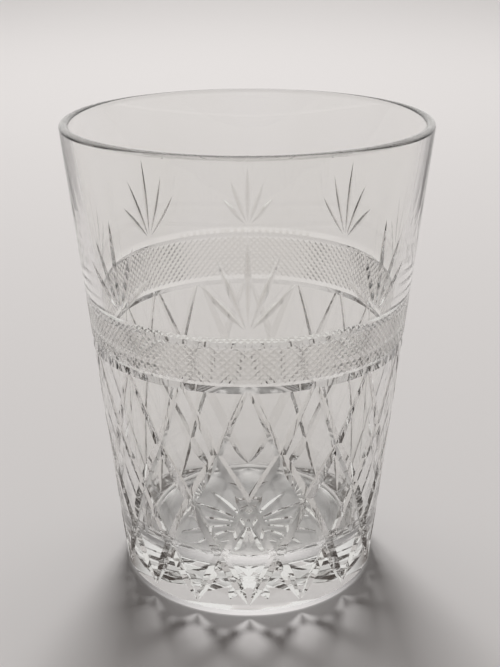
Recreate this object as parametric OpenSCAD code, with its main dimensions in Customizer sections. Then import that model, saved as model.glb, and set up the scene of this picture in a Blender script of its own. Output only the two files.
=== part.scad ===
// Whiskey tumbler: a single piece of clear cut glass that stands on its foot.
// The blank is a body of revolution about Z. V-edged wheels cut the decoration into its outside:
// two rings round the wall, fans above them, a diamond lattice below, and a star under the base.
// Millimetres, +Z up. The origin is the middle of the foot, on the surface it stands on.

/* [Blank] */
// Height over the rim
height = 102.8; // [98:0.1:110]
// Outside diameter just under the rim
rim_d = 78; // [74:0.5:84]
// Outside diameter at the foot
foot_d = 58; // [55:0.5:62]
// Wall thickness at the rim, which is fully rounded
rim_wall = 2; // [1.8:0.1:2.4]
// Wall thickness low down, above the bowl's inside corner
low_wall = 4.4; // [4:0.1:5]
// Thickness of the base under the bowl
base_t = 9.5; // [8:0.1:12]
// Radius of the bowl's inside corner
bowl_r = 8; // [5:0.5:10]
// Size of the bevel ground round the foot
foot_bevel = 1.2; // [0.5:0.1:1.5]

/* [Rings] */
// Height of the upper ring cut, at the wall
ring_high = 66.4; // [65:0.1:68]
// Height of the lower ring cut, at the wall
ring_low = 55.8; // [55:0.1:57]
// Tilt of the upper ring, which the cutter has let drift, in degrees
ring_high_tilt = 1; // [0:0.1:1.2]
// Tilt of the lower ring the other way, in degrees
ring_low_tilt = 0.8; // [0:0.1:1]
// Depth of the ring cuts
ring_depth = 0.56; // [0.4:0.02:0.8]

/* [Fans] */
// Number of fans round the wall
fans = 8; // [4:1:10]
// Height of the point that a fan's rays spring from
fan_foot = 68.2; // [67.5:0.1:70]
// Depth of the rays at their middle
ray_depth = 0.4; // [0.25:0.05:0.6]

/* [Lattice] */
// Number of mitre cuts that lean each way
mitres = 16; // [12:1:18]
// Greatest depth of the mitre cuts
mitre_depth = 0.62; // [0.4:0.02:0.8]
// Height at which the mitre cuts run out above the foot
mitre_end = 2.2; // [1.8:0.1:3]

/* [Star] */
// Number of rays under the base
star_rays = 16; // [8:2:16]
// Outer radius of the star
star_r = 18; // [14:0.5:23]
// Depth of the star's rays
star_depth = 0.75; // [0.5:0.05:1]

/* [Hidden] */
$fn = 96;
glass_colour = [0.88, 0.9, 0.9, 0.45];

// Half of the angle between the two faces of a V-edged wheel: one for the rays and the star,
// and a blunter one for the rings and the lattice
ray_half_angle = 60;
mitre_half_angle = 66;
// Direction that faces the viewer, where one fan and one diamond are centred
front = -90;
rim_r = rim_wall / 2;
wall_top = height - rim_r;
bowl_top_r = rim_d / 2 - rim_wall;
bowl_low_z = base_t + bowl_r;
bowl_low_r = outer_r(bowl_low_z) - low_wall;
// How far a cutter stands proud of the wall, and how far neighbouring cuts overlap
proud = 1;
lap = 0.5;

// Leans from upright and lengths of a fan's five rays, and the reach of each fan as cut by hand,
// going round anticlockwise from the front
ray_leans = [-43, -21, 0, 21, 43];
ray_lengths = [13.5, 16.5, 21, 17.5, 13.5];
fan_reach = [1, 0.95, 0.95, 0.88, 0.72, 0.92, 0.95, 0.95];

// Stations of a mitre cut, from the lower ring down to the foot: height, turn in half pitches,
// and share of the full depth. The cuts cross at the whole turns.
stations = [[55.2, 0, 0.35], [40.3, 1, 0.8], [28.6, 2, 1], [15.6, 3, 1], [7, 3.64, 0.85], [mitre_end, 4, 0]];

// How far from its centre a fan's rays and the star's rays begin
ray_gap = 1;
star_gap = 1.5;

// Outside radius of the blank at a height
function outer_r(z) = foot_d / 2 + z * (rim_d - foot_d) / 2 / wall_top;

// Angle about Z that a line on the wall turns through, for its lean from upright and its length
function turn_along(lean, length) = sin(lean) * length / outer_r(fan_foot + length / 2) * 180 / PI;

// Step from one point on the wall to another, seen square on from halfway between them
function wall_step(angle_a, z_a, angle_b, z_b) = [
    (outer_r(z_b) - outer_r(z_a)) * cos((angle_b - angle_a) / 2),
    (outer_r(z_a) + outer_r(z_b)) * sin((angle_b - angle_a) / 2),
    z_b - z_a
];

// Outline of the solid blank, from the axis to the outside wall
module blank_outline() {
    polygon([
        [0, 0],
        [foot_d / 2 - foot_bevel, 0],
        [outer_r(foot_bevel), foot_bevel],
        [rim_d / 2, wall_top],
        [0, wall_top]
    ]);
}

// Outline of the bowl, with a rounded inside corner that blends into the wall
module bowl_outline() {
    polygon([
        [0, bowl_low_z],
        [bowl_low_r, bowl_low_z],
        [bowl_top_r, wall_top],
        [bowl_top_r, height],
        [0, height]
    ]);
    polygon([[0, base_t], [bowl_low_r - bowl_r, base_t], [bowl_low_r - bowl_r, bowl_low_z], [0, bowl_low_z]]);
    intersection() {
        translate([bowl_low_r - bowl_r, bowl_low_z]) circle(bowl_r);
        translate([bowl_low_r - bowl_r, base_t]) square(bowl_r);
    }
}

module blank() {
    rotate_extrude() {
        difference() {
            blank_outline();
            bowl_outline();
        }
        translate([rim_d / 2 - rim_r, wall_top]) circle(rim_r);
    }
}

// V-shaped groove round the wall, tilted about X
module ring_cut(z, tilt) {
    spread = (ring_depth + proud) * tan(mitre_half_angle);
    translate([0, 0, z]) rotate([tilt, 0, 0]) rotate_extrude()
        translate([outer_r(z), 0]) polygon([[-ring_depth, 0], [proud, -spread], [proud, spread]]);
}

// Half of a pointed cut: a V groove along Z that is deepest at the origin and runs out at its length
module run_out(length, depth) {
    tilt = atan(depth / length);
    top = depth + proud;
    translate([-depth, 0, 0]) rotate([0, tilt, 0]) translate([0, 0, -lap])
        linear_extrude(length / cos(tilt) + 2 * lap)
        polygon([[0, 0], [top, -top * tan(ray_half_angle)], [top, top * tan(ray_half_angle)]]);
}

// Cut with a point at each end, as a wheel leaves it, centred on the origin
module pointed_cut(length, depth) {
    run_out(length / 2, depth);
    mirror([0, 0, 1]) run_out(length / 2, depth);
}

// Places a cut that lies along Z between two points on the wall, with its mouth towards +X
module between(angle_a, z_a, angle_b, z_b) {
    step = wall_step(angle_a, z_a, angle_b, z_b);
    rotate([0, 0, (angle_a + angle_b) / 2])
        translate([(outer_r(z_a) + outer_r(z_b)) / 2 * cos((angle_b - angle_a) / 2), 0, (z_a + z_b) / 2])
        rotate([0, atan2(step[0], step[2]), 0]) rotate([-asin(step[1] / norm(step)), 0, 0])
        children();
}

// Five pointed rays that spring from one place above the upper ring
module fan_cuts() {
    for (f = [0 : fans - 1], k = [0 : len(ray_leans) - 1]) {
        angle = front + f * 360 / fans;
        start = angle + turn_along(ray_leans[k], ray_gap);
        end = angle + turn_along(ray_leans[k], ray_lengths[k] * fan_reach[f]);
        z_start = fan_foot + cos(ray_leans[k]) * ray_gap;
        z_end = fan_foot + cos(ray_leans[k]) * ray_lengths[k] * fan_reach[f];
        sag = outer_r((z_start + z_end) / 2) * (1 - cos((end - start) / 2));
        between(start, z_start, end, z_end)
            pointed_cut(norm(wall_step(start, z_start, end, z_end)), ray_depth - sag);
    }
}

// V groove along Z, centred on the origin, with one depth at its lower end and another at its upper
module mitre_stretch(length, low_depth, high_depth) {
    depth = (low_depth + high_depth) / 2;
    spread = (depth + proud) * tan(mitre_half_angle);
    rotate([0, atan((low_depth - high_depth) / length), 0])
        linear_extrude(length + 2 * lap, center = true)
        polygon([[-depth, 0], [proud, -spread], [proud, spread]]);
}

// Mitre cuts that lean both ways and cross, each made of straight stretches from station to station
module lattice_cuts() {
    half_pitch = 180 / mitres;
    for (m = [0 : mitres - 1], side = [-1, 1], i = [1 : len(stations) - 1]) {
        low = stations[i];
        high = stations[i - 1];
        low_angle = front + (2 * m + side * low[1]) * half_pitch;
        high_angle = front + (2 * m + side * high[1]) * half_pitch;
        sag = outer_r(low[0]) * (1 - cos((high_angle - low_angle) / 2));
        between(low_angle, low[0], high_angle, high[0])
            mitre_stretch(
                norm(wall_step(low_angle, low[0], high_angle, high[0])),
                mitre_depth * low[2] - sag / 2,
                mitre_depth * high[2] - sag / 2
            );
    }
}

// Pointed rays under the base
module star_cuts() {
    for (s = [0 : star_rays - 1])
        rotate([0, 0, front + (s + 0.5) * 360 / star_rays]) translate([(star_gap + star_r) / 2, 0, 0])
            rotate([0, 90, 0]) pointed_cut(star_r - star_gap, star_depth);
}

module tumbler() {
    color(glass_colour) difference() {
        difference() {
            blank();
            fan_cuts();
            lattice_cuts();
            star_cuts();
        }
        ring_cut(ring_high, -ring_high_tilt);
        ring_cut(ring_low, ring_low_tilt);
    }
}

tumbler();
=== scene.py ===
import math

import bmesh
import bpy
import numpy as np
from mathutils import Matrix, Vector


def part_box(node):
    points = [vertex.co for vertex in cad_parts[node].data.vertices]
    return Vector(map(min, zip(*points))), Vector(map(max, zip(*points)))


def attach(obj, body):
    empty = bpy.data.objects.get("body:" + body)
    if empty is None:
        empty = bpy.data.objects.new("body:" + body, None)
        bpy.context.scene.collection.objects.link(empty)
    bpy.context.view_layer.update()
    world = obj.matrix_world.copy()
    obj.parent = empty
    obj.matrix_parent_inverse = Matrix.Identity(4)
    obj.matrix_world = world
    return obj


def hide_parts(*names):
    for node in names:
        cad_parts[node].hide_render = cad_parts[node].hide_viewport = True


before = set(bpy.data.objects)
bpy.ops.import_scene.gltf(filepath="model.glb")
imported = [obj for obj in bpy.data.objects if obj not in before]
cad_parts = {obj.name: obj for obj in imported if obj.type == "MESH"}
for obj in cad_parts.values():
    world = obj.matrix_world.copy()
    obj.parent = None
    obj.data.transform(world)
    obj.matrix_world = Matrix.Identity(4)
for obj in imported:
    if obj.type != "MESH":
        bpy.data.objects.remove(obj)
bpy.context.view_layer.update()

# ---------------------------------------------------------------------------------------------
# The blank: the tumbler as it leaves the furnace, before any cutting. Lead crystal, blown into a
# mould, with a thick base, a bowl with a rounded inside corner and a rim melted round by flame.
# It is turned about Z from one outline, with a fan of triangles at each pole. Sizes in millimetres.

MM = 0.001
foot_low, rim_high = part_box("tumbler")
height = rim_high.z / MM
rim_radius = (rim_high.x - foot_low.x) / 2 / MM
foot_radius = 29.0
foot_bevel = 1.2
rim_round = 1.0
low_wall = 4.4
base_thick = 9.5
bowl_corner = 8.0
turned_columns = 360

wall_top = height - rim_round
wall_slope = (rim_radius - foot_radius) / wall_top


def wall_radius(z):
    """Outside radius of the uncut wall at a height, in millimetres."""
    return foot_radius + wall_slope * z


corner_z = base_thick + bowl_corner
corner_r = wall_radius(corner_z) - low_wall
mouth_r = rim_radius - 2 * rim_round
bowl_slope = (mouth_r - corner_r) / (wall_top - corner_z)


def arc(centre_r, centre_z, radius, start, end, steps):
    """Points of an arc in the outline, between two angles in degrees."""
    angles = [math.radians(start + (end - start) * i / steps) for i in range(steps + 1)]
    return [(centre_r + radius * math.cos(a), centre_z + radius * math.sin(a)) for a in angles]


# From the underside, up the wall, over the rim and down into the bowl
outline = [(22.0, 0.0), (foot_radius - foot_bevel, 0.0), (wall_radius(foot_bevel), foot_bevel)]
outline += arc(rim_radius - rim_round, wall_top, rim_round, 0, 180, 12)
outline += arc(corner_r - bowl_corner, corner_z, bowl_corner, 0, -90, 14)
outline += [(12.0, base_thick), (5.0, base_thick)]


def turn(outline, columns, name):
    """Object of the outline turned about Z, with a point on the axis at each end."""
    angles = np.arange(columns) * 2 * math.pi / columns
    points = [(0.0, 0.0, outline[0][1])]
    for r, z in outline:
        points += [(r * math.cos(a), r * math.sin(a), z) for a in angles]
    points.append((0.0, 0.0, outline[-1][1]))
    last_row = 1 + (len(outline) - 1) * columns
    faces = []
    for i in range(columns):
        j = (i + 1) % columns
        faces.append((0, 1 + j, 1 + i))
        for low in range(1, last_row, columns):
            faces.append((low + i, low + j, low + columns + j, low + columns + i))
        faces.append((last_row + i, last_row + j, len(points) - 1))
    mesh = bpy.data.meshes.new(name)
    mesh.from_pydata([(x * MM, y * MM, z * MM) for x, y, z in points], [], faces)
    mesh.validate()
    piece = bpy.data.objects.new(name, mesh)
    bpy.context.scene.collection.objects.link(piece)
    return piece


tumbler = turn(outline, turned_columns, "cut_glass_tumbler")

# ---------------------------------------------------------------------------------------------
# How every cut is made: a wheel with a V edge is brought to the wall and follows a line on it.
# A cutter here is that V, swept along the line. Geometry Nodes repeat it round the glass and
# take it out of the blank. A V's angle is measured from its middle to one side.

ray_half_angle = math.radians(60)
proud = 1.0
front = -math.pi / 2


def on_wall(angle, z):
    """Point on the uncut wall, in millimetres."""
    r = wall_radius(z)
    return Vector((r * math.cos(angle), r * math.sin(angle), z))


def wall_normal(angle):
    """Outward normal of the uncut wall."""
    return Vector((math.cos(angle), math.sin(angle), -wall_slope)).normalized()


def wheel_path(name, path, normals, depths, half_angle=ray_half_angle, closed=False):
    """Cutter swept along a path: at each point a V of the depth given, with its mouth proud."""
    points, faces = [], []
    count = len(path)
    for i, (here, out, depth) in enumerate(zip(path, normals, depths)):
        before = path[(i - 1) % count] if closed or i > 0 else here
        after = path[(i + 1) % count] if closed or i < count - 1 else here
        across = out.cross(after - before).normalized()
        mouth, spread = here + out * proud, (depth + proud) * math.tan(half_angle)
        points += [here - out * depth, mouth + across * spread, mouth - across * spread]
    for i in range(count if closed else count - 1):
        a, b = 3 * i, 3 * ((i + 1) % count)
        for k in range(3):
            m = (k + 1) % 3
            faces.append((a + k, b + k, b + m, a + m))
    if not closed:
        faces += [(0, 1, 2), (3 * count - 1, 3 * count - 2, 3 * count - 3)]
    mesh = bpy.data.meshes.new(name)
    mesh.from_pydata([tuple(p * MM) for p in points], [], faces)
    cutter = bpy.data.objects.new(name, mesh)
    bpy.context.scene.collection.objects.link(cutter)
    shape = bmesh.new()
    shape.from_mesh(mesh)
    bmesh.ops.recalc_face_normals(shape, faces=shape.faces)
    shape.to_mesh(mesh)
    shape.free()
    return cutter


def join(name, cutters):
    """Several cutters as one object."""
    shape = bmesh.new()
    for cutter in cutters:
        shape.from_mesh(cutter.data)
        bpy.data.objects.remove(cutter)
    mesh = bpy.data.meshes.new(name)
    shape.to_mesh(mesh)
    shape.free()
    joined = bpy.data.objects.new(name, mesh)
    bpy.context.scene.collection.objects.link(joined)
    return joined


def add_node(tree, kind, settings=None, **links):
    """Adds a node, sets its properties and input values, and links its inputs."""
    node = tree.nodes.new(kind)
    for key, value in (settings or {}).items():
        if hasattr(node, key) and key not in node.inputs:
            setattr(node, key, value)
        else:
            node.inputs[key].default_value = value
    for key, socket in links.items():
        tree.links.new(socket, node.inputs[int(key[1:]) if key[1:].isdigit() else key.replace("_", " ")])
    return node


def cutting_tree():
    """Repeats one cutter evenly round Z and takes all of the copies out of the glass."""
    tree = bpy.data.node_groups.new("wheel cuts round the glass", "GeometryNodeTree")
    face = tree.interface
    face.new_socket("Glass", in_out="INPUT", socket_type="NodeSocketGeometry")
    face.new_socket("Cutter", in_out="INPUT", socket_type="NodeSocketObject")
    face.new_socket("Cuts Round", in_out="INPUT", socket_type="NodeSocketInt")
    face.new_socket("Material", in_out="INPUT", socket_type="NodeSocketMaterial")
    face.new_socket("Glass", in_out="OUTPUT", socket_type="NodeSocketGeometry")
    start = add_node(tree, "NodeGroupInput")
    cutter = add_node(tree, "GeometryNodeObjectInfo", None, Object=start.outputs["Cutter"])
    points = add_node(tree, "GeometryNodePoints", None, Count=start.outputs["Cuts Round"])
    index = add_node(tree, "GeometryNodeInputIndex")
    share = add_node(tree, "ShaderNodeMath", {"operation": "DIVIDE"}, _0=index.outputs[0],
                     _1=start.outputs["Cuts Round"])
    turn_angle = add_node(tree, "ShaderNodeMath", {"operation": "MULTIPLY"}, _0=share.outputs[0])
    turn_angle.inputs[1].default_value = 2 * math.pi
    about_z = add_node(tree, "ShaderNodeCombineXYZ", None, Z=turn_angle.outputs[0])
    rotation = add_node(tree, "FunctionNodeEulerToRotation", None, _0=about_z.outputs[0])
    copies = add_node(tree, "GeometryNodeInstanceOnPoints", None, Points=points.outputs[0],
                      Instance=cutter.outputs["Geometry"], Rotation=rotation.outputs[0])
    cut = add_node(tree, "GeometryNodeMeshBoolean", {"operation": "DIFFERENCE", "solver": "MANIFOLD"},
                   _0=start.outputs["Glass"], _1=copies.outputs[0])
    real = add_node(tree, "GeometryNodeRealizeInstances", None, _0=cut.outputs["Mesh"])
    glazed = add_node(tree, "GeometryNodeSetMaterial", None, Geometry=real.outputs[0],
                      Material=start.outputs["Material"])
    finish = add_node(tree, "NodeGroupOutput")
    tree.links.new(glazed.outputs[0], finish.inputs["Glass"])
    return tree


wheel_cuts = cutting_tree()
cut_inputs = {s.name: s.identifier for s in wheel_cuts.interface.items_tree if s.in_out == "INPUT"}
crystal = bpy.data.materials.new("lead_crystal")
cutters = []


def cut_round(cutter, cuts_round):
    """Adds one family of cuts to the tumbler."""
    cutters.append(cutter)
    step = tumbler.modifiers.new(cutter.name, "NODES")
    step.node_group = wheel_cuts
    step[cut_inputs["Cutter"]] = cutter
    step[cut_inputs["Cuts Round"]] = cuts_round
    step[cut_inputs["Material"]] = crystal


# ---------------------------------------------------------------------------------------------
# The fine diamond band: shallow V grooves at about 45 degrees both ways, so close that they leave
# only small points between them. It is cut first, and the two rings then clean up its edges.

band_low, band_high = 56.2, 66.1
band_grooves = 132
band_depth = 0.24
band_half_angle = math.radians(67)
turn_height = 1.6 * band_grooves
for hand in (1, -1):
    heights = np.linspace(band_low, band_high, 13)
    middle = (band_low + band_high) / 2
    turns = [hand * (z - middle) / turn_height * 2 * math.pi for z in heights]
    line = [on_wall(a, z) for a, z in zip(turns, heights)]
    groove = wheel_path(f"band_groove_{hand}", line, [wall_normal(a) for a in turns],
                        [band_depth] * len(line), band_half_angle)
    cut_round(groove, band_grooves)

# ---------------------------------------------------------------------------------------------
# The rings: one V groove above the band and one below it. The wheel has drifted a little on the
# way round, so each ring lies slightly out of level.

ring_depth = 0.56
mitre_half_angle = math.radians(66)
ring_steps = 240
ring_high, high_drift = 66.4, 0.62
ring_low, low_drift = 55.8, -0.45
for ring_name, ring_z, drift in (("ring_high", ring_high, high_drift), ("ring_low", ring_low, low_drift)):
    angles = [2 * math.pi * i / ring_steps for i in range(ring_steps)]
    line = [on_wall(a, ring_z + drift * math.sin(a)) for a in angles]
    ring = wheel_path(ring_name, line, [wall_normal(a) for a in angles],
                      [ring_depth] * ring_steps, mitre_half_angle, closed=True)
    cut_round(ring, 1)

# ---------------------------------------------------------------------------------------------
# The diamond lattice: sixteen deep mitre cuts that lean each way, from the lower ring down to
# just above the foot, where each runs out to a point as the wheel lifts.

mitres = 16
mitre_depth = 0.62
mitre_start = 22.0
mitre_lift = 9.0
crossings = [56.4, 40.3, 28.6, 15.6, 2.2]
half_pitches = len(crossings) - 1
steps_between = 8
mitre_clear = 0.02
for hand in (1, -1):
    rows = np.linspace(0, half_pitches, half_pitches * steps_between + 1)
    heights = np.interp(rows, range(len(crossings)), crossings)
    turns = [front + hand * row * math.pi / mitres for row in rows]
    line = [on_wall(a, z) for a, z in zip(turns, heights)]
    runs_out = 1 - np.maximum(0, 1 - (heights - crossings[-1]) / mitre_lift) ** 2
    sets_in = 0.35 + 0.65 * np.minimum(1, (crossings[0] - heights) / mitre_start)
    depths = mitre_depth * np.minimum(runs_out, sets_in) - mitre_clear
    mitre = wheel_path(f"mitre_{hand}", line, [wall_normal(a) for a in turns], list(depths), mitre_half_angle)
    cut_round(mitre, mitres)

# ---------------------------------------------------------------------------------------------
# The fans: eight sprays of five pointed cuts that spring from one place above the upper ring.
# They were cut by eye, so each reaches a different height.

fans = 8
fan_foot = 68.2
ray_depth = 0.4
ray_gap = 1.0
ray_clear = 0.01
ray_leans = [-43, -21, 0, 21, 43]
ray_lengths = [13.5, 16.5, 21.0, 17.5, 13.5]
fan_reach = [1.0, 0.95, 0.95, 0.88, 0.72, 0.92, 0.95, 0.95]
ray_steps = 13


def pointed(start, end, depth, steps):
    """Distances along a cut with a point at each end, and its depth at each."""
    share = np.linspace(0, 1, steps)
    return start + (end - start) * share, list(4 * depth * share * (1 - share) - ray_clear)


rays = []
for fan in range(fans):
    middle = front + fan * 2 * math.pi / fans
    for lean, length in zip(ray_leans, ray_lengths):
        along, depths = pointed(ray_gap, length * fan_reach[fan], ray_depth, ray_steps)
        heights = fan_foot + along * math.cos(math.radians(lean))
        turns = middle + along * math.sin(math.radians(lean)) / wall_radius(heights)
        line = [on_wall(a, z) for a, z in zip(turns, heights)]
        rays.append(wheel_path("ray", line, [wall_normal(a) for a in turns], depths))
cut_round(join("fan_rays", rays), 1)

# ---------------------------------------------------------------------------------------------
# The star: sixteen pointed cuts under the base, seen through the glass from above.

star_rays = 16
star_depth = 0.75
star_gap, star_reach = 0.8, 18.0
star_turn = math.pi / star_rays
star_steps = 17
along, depths = pointed(star_gap, star_reach, star_depth, star_steps)
star_line = [Vector((s * math.cos(star_turn), s * math.sin(star_turn), 0)) for s in along]
star_ray = wheel_path("star_ray", star_line, [Vector((0, 0, -1))] * star_steps, depths)
cut_round(star_ray, star_rays)

# ---------------------------------------------------------------------------------------------
# The glass: lead crystal, polished by flame inside and out, with cuts polished in acid. It has no
# colour of its own, so the eye gets what it bends. Faint cords left by the blowing ripple the view,
# and the finest cuts are left satin. The cut faces are painted grey as shade, most at the bottoms
# of the finest grooves.


def linear(hex_colour):
    """sRGB hex to linear RGBA."""
    values = [int(hex_colour[i:i + 2], 16) / 255 for i in (0, 2, 4)]
    return [v / 12.92 if v <= 0.04045 else ((v + 0.055) / 1.055) ** 2.4 for v in values] + [1.0]


crystal.use_nodes = True
glass = crystal.node_tree
glass.nodes.clear()


def stored(name):
    """Reads one of the values that are stored on the finished mesh below."""
    return add_node(glass, "ShaderNodeAttribute", {"attribute_type": "GEOMETRY", "attribute_name": name})


def product(a, b):
    return add_node(glass, "ShaderNodeMath", {"operation": "MULTIPLY"}, _0=a.outputs[0], _1=b.outputs[0])


def ramp(source, output, low, high, at_low, at_high):
    """Turns a value that runs from low to high into one from at_low to at_high, and holds it beyond."""
    limits = {"From Min": low, "From Max": high, "To Min": at_low, "To Max": at_high}
    return add_node(glass, "ShaderNodeMapRange", limits, Value=source.outputs[output])


cord_spacing = 14 * MM
cord_height = 0.05 * MM
satin_roughness = 0.12
place = add_node(glass, "ShaderNodeTexCoord")
drawn = add_node(glass, "ShaderNodeMapping", {"Scale": (1.0, 1.0, 0.35)}, Vector=place.outputs["Object"])
cords = add_node(glass, "ShaderNodeTexNoise", {"Scale": 1 / cord_spacing, "Detail": 1.0},
                 Vector=drawn.outputs[0])
tint = add_node(glass, "ShaderNodeMix", {"data_type": "RGBA"}, Factor=cords.outputs["Fac"])
tint.inputs[6].default_value = linear("ffffff")
tint.inputs[7].default_value = linear("fbfbf9")
# Painted shade: cut faces are greyed toward e5e3df, most at the bottoms of the fine grooves.
tint_and_painted_shade = add_node(glass, "ShaderNodeMix", {"data_type": "RGBA"}, Factor=stored("painted_cut_shade").outputs["Fac"])
tint_and_painted_shade.inputs[7].default_value = linear("e5e3df")
glass.links.new(tint.outputs[2], tint_and_painted_shade.inputs[6])
satin = ramp(stored("fine_cut"), "Fac", 0, 1, 0, satin_roughness)
waves = add_node(glass, "ShaderNodeBump", {"Strength": 1.0, "Distance": cord_height},
                 Height=cords.outputs["Fac"])
surface = add_node(glass, "ShaderNodeBsdfPrincipled", {"IOR": 1.545, "Transmission Weight": 1.0},
                   Base_Color=tint_and_painted_shade.outputs[2], Roughness=satin.outputs[0], Normal=waves.outputs[0])

# Lamp light through the glass. Only for the rays that look for a lamp, the glass is clear and loses
# a share: cut faces throw light aside, grazing faces reflect it, and the side of the solid base
# traps it except where a cut lets it out. What is left is gathered low down, as a lens would.
level = add_node(glass, "ShaderNodeSeparateXYZ", None, _0=place.outputs["Object"])
bent_away = stored("cut_face")
below_bowl = ramp(level, "Z", 8.5 * MM, 9.4 * MM, 1, 0)
above_star = add_node(glass, "ShaderNodeMath", {"operation": "GREATER_THAN"}, _0=level.outputs["Z"])
above_star.inputs[1].default_value = 0.9 * MM
in_base = product(below_bowl, above_star)
lost = add_node(glass, "ShaderNodeMix", {"data_type": "FLOAT"}, Factor=in_base.outputs[0])
glass.links.new(bent_away.outputs["Fac"], lost.inputs[2])
glass.links.new(ramp(bent_away, "Fac", 0, 1, 0.72, 0.1).outputs[0], lost.inputs[3])
let_through = ramp(lost, 0, 0, 1, 1, 0.04)
edge_on = add_node(glass, "ShaderNodeLayerWeight", {"Blend": 0.25})
dimmed = ramp(edge_on, "Facing", 0, 1, 1, 0.2)
gathered = ramp(level, "Z", 0.9 * MM, 28 * MM, 1.8, 0.94)
lamp_light = product(product(let_through, dimmed), gathered)
clear = add_node(glass, "ShaderNodeBsdfTransparent", None, Color=lamp_light.outputs[0])
light_kind = add_node(glass, "ShaderNodeLightPath")
either = add_node(glass, "ShaderNodeMixShader", None, _0=light_kind.outputs["Is Shadow Ray"],
                  _1=surface.outputs[0], _2=clear.outputs[0])
add_node(glass, "ShaderNodeOutputMaterial", None, Surface=either.outputs[0])

# ---------------------------------------------------------------------------------------------
# The finished tumbler: all of the cuts are made and kept as one plain mesh. Uncut faces get the
# normals of the turned blank, so the wall stays truly round between the cuts, and the faces of
# the cuts stay flat. The values that the glass reads are stored on the mesh.

bpy.context.view_layer.update()
evaluated = tumbler.evaluated_get(bpy.context.evaluated_depsgraph_get())
mesh = bpy.data.meshes.new_from_object(evaluated)
tumbler.modifiers.clear()
tumbler.data = mesh
for cutter in cutters:
    bpy.data.objects.remove(cutter)
mesh.shade_smooth()
mesh.set_sharp_from_angle(angle=math.radians(18))


def turned_normal(points):
    """Normal of the uncut blank at each point, and how far the point lies from it, in millimetres."""
    radius, z = np.hypot(points[:, 0], points[:, 1]), points[:, 2]
    middle_r = (wall_radius(z) + corner_r + (z - corner_z) * bowl_slope) / 2
    outside = radius > middle_r
    n_r, n_z, off = np.zeros(len(z)), -np.ones(len(z)), np.abs(z)

    def take(where, r, up, distance):
        n_r[where], n_z[where], off[where] = r[where], up[where], distance[where]

    def about(centre_r, centre_z, size, sign):
        reach = np.maximum(np.hypot(radius - centre_r, z - centre_z), 1e-9)
        return sign * (radius - centre_r) / reach, sign * (z - centre_z) / reach, np.abs(reach - size)

    flat = np.ones(len(z))
    wall = outside & (z > 0.01)
    take(wall, flat, -wall_slope * flat, np.abs(radius - wall_radius(z)))
    off[wall & (z < foot_bevel - 0.01)] = 1
    inside = ~outside & (z > base_thick - 0.1)
    take(inside, -flat, bowl_slope * flat, np.abs(radius - corner_r - (z - corner_z) * bowl_slope))
    take(inside & (z < corner_z), *about(corner_r - bowl_corner, corner_z, bowl_corner, -1))
    take(inside & (radius < corner_r - bowl_corner), 0 * flat, flat, np.abs(z - base_thick))
    take(z > wall_top, *about(rim_radius - rim_round, wall_top, rim_round, 1))
    length = np.hypot(n_r, n_z)
    radius = np.maximum(radius, 1e-9)
    return np.stack([n_r * points[:, 0] / radius, n_r * points[:, 1] / radius, n_z], 1) / length[:, None], off


def read(collection, name, width):
    """Values of a mesh as rows of the given width."""
    values = np.empty(len(collection) * width, dtype=np.float32)
    collection.foreach_get(name, values)
    return values.reshape(-1, width)


def store(name, domain, values):
    """Keeps a value on the mesh for the glass to read."""
    mesh.attributes.new(name, "FLOAT", domain).data.foreach_set("value", values.astype(np.float32))


def on_corners(face_values):
    return np.repeat(face_values, face_corners)


corner_point = np.empty(len(mesh.loops), dtype=np.int32)
mesh.loops.foreach_get("vertex_index", corner_point)
face_corners = np.empty(len(mesh.polygons), dtype=np.int32)
mesh.polygons.foreach_get("loop_total", face_corners)
points = read(mesh.vertices, "co", 3) / MM
centres = read(mesh.polygons, "center", 3) / MM

same_way, on_blank = 0.998, 0.03
blank_normals, off_blank = turned_normal(centres)
facing = (read(mesh.polygons, "normal", 3) * blank_normals).sum(1)
uncut = (facing > same_way) & (off_blank < on_blank)
normals = read(mesh.corner_normals, "vector", 3).copy()
true_normals, _ = turned_normal(points[corner_point])
normals[on_corners(uncut)] = true_normals[on_corners(uncut)]
mesh.normals_split_custom_set(normals)

# How much of the lamps' light a cut face throws aside: most low down, where the cuts are deep
face_z = centres[:, 2]
thrown = np.where(face_z < 1, 0.1, np.clip(1.3 - face_z / 40, 0.2, 1))
store("cut_face", "FACE", ~uncut * thrown)

# The fine cuts are the rays above the upper ring and the band between the rings. Their painted
# shade grows with their depth, and the mitre cuts have an even trace of painted shade.
ring_clear = 1.2
round_sine = centres[:, 1] / np.hypot(centres[:, 0], centres[:, 1])
above_low = face_z > ring_low + low_drift * round_sine + ring_clear
below_high = face_z < ring_high + high_drift * round_sine - ring_clear
in_fans = (face_z > fan_foot - 0.4) & (face_z < wall_top)
fine = ~uncut & (above_low & below_high | in_fans)
store("fine_cut", "FACE", fine)
# Painted shade: deeper parts of the fine cuts are painted greyer, and the mitre faces evenly grey.
sunk = np.clip((wall_radius(points[:, 2]) - np.hypot(points[:, 0], points[:, 1])) / band_depth, 0, 1)
mitre_painted_shade = 0.45 * (~uncut & (face_z > 1) & (face_z < 54))
store("painted_cut_shade", "CORNER", np.where(on_corners(fine), sunk[corner_point], on_corners(mitre_painted_shade)))

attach(tumbler, "root")
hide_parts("tumbler")

# ---------------------------------------------------------------------------------------------
# The studio: a sheet of pale matt paper, a large soft lamp above and behind, a second that lights
# the paper far back, and a room that is bright behind the glass and dark at the sides and in front.

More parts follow.
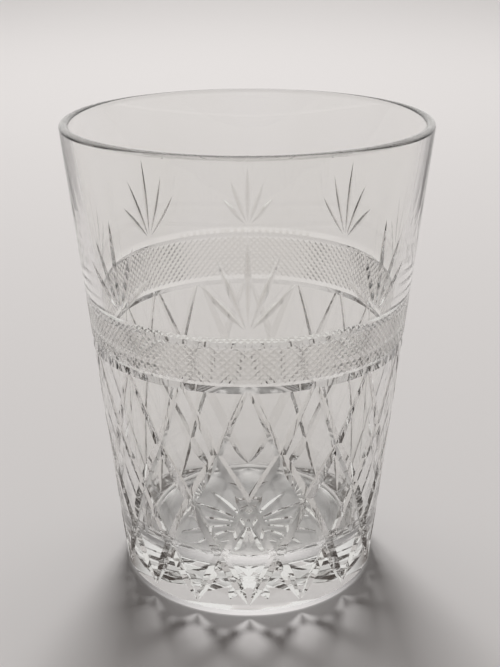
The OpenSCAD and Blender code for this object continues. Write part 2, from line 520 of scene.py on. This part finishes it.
paper = bpy.data.materials.new("backdrop_paper")
paper.use_nodes = True
paper.node_tree.nodes["Principled BSDF"].inputs["Base Color"].default_value = linear("d9d6d5")
paper.node_tree.nodes["Principled BSDF"].inputs["Roughness"].default_value = 0.9
floor_reach = 2.5
floor_drop = 0.05 * MM
corner_signs = ((-1, -1), (1, -1), (1, 1), (-1, 1))
floor_corners = [(x * floor_reach, y * floor_reach, -floor_drop) for x, y in corner_signs]
floor_mesh = bpy.data.meshes.new("floor")
floor_mesh.from_pydata(floor_corners, [], [(0, 1, 2, 3)])
floor_mesh.materials.append(paper)
floor = bpy.data.objects.new("floor", floor_mesh)
bpy.context.scene.collection.objects.link(floor)

world = bpy.data.worlds.new("studio")
world.use_nodes = True
room = world.node_tree
direction = add_node(room, "ShaderNodeTexCoord")
brightest = (0, 0.94, 0.34)
towards = add_node(room, "ShaderNodeVectorMath", {"operation": "DOT_PRODUCT"},
                   _0=direction.outputs["Generated"])
towards.inputs[1].default_value = brightest
glow = add_node(room, "ShaderNodeValToRGB", None, Fac=towards.outputs["Value"])
for share, colour in ((0.26, "453e3a"), (0.46, "8a837f"), (0.68, "dcdbd9"), (0.84, "eae9e7")):
    stop = glow.color_ramp.elements.new(share)
    stop.color = linear(colour)
glow.color_ramp.elements.remove(glow.color_ramp.elements[0])
glow.color_ramp.elements.remove(glow.color_ramp.elements[-1])
room.links.new(glow.outputs[0], room.nodes["Background"].inputs["Color"])
bpy.context.scene.world = world


def soft_light(name, place, target, size, power):
    """Rectangular lamp that the glass neither reflects nor shows through."""
    lamp = bpy.data.lights.new(name, "AREA")
    lamp.shape = "RECTANGLE"
    lamp.size, lamp.size_y = size
    lamp.energy = power
    holder = bpy.data.objects.new(name, lamp)
    holder.location = place
    holder.rotation_euler = (Vector(target) - Vector(place)).to_track_quat("-Z", "Y").to_euler()
    holder.visible_transmission = holder.visible_glossy = False
    bpy.context.scene.collection.objects.link(holder)


soft_light("overhead_softbox", (-0.06, 0.85, 1.5), (0, 0.2, 0.0), (0.35, 0.35), 18.9)
soft_light("backdrop_light", (0.0, 2.1, 0.9), (0, 1.9, 0.0), (1.6, 0.4), 5.0)

camera_data = bpy.data.cameras.new("camera")
camera_data.sensor_width = 36
camera_data.lens = 59.86
camera = bpy.data.objects.new("camera", camera_data)
camera.location = (0, -0.23205, 0.14446)
look_down = 21.2205
camera.rotation_euler = (math.radians(90 - look_down), math.radians(0.1727), math.radians(-0.177))
scene = bpy.context.scene
scene.collection.objects.link(camera)
scene.camera = camera
scene.cycles.max_bounces = 32
scene.cycles.transmission_bounces = 32
scene.cycles.glossy_bounces = 16
scene.cycles.diffuse_bounces = 4
scene.cycles.blur_glossy = 0.0
scene.cycles.sample_clamp_indirect = 0.0
scene.cycles.caustics_refractive = False
scene.cycles.caustics_reflective = False
scene.view_settings.view_transform = "Standard"
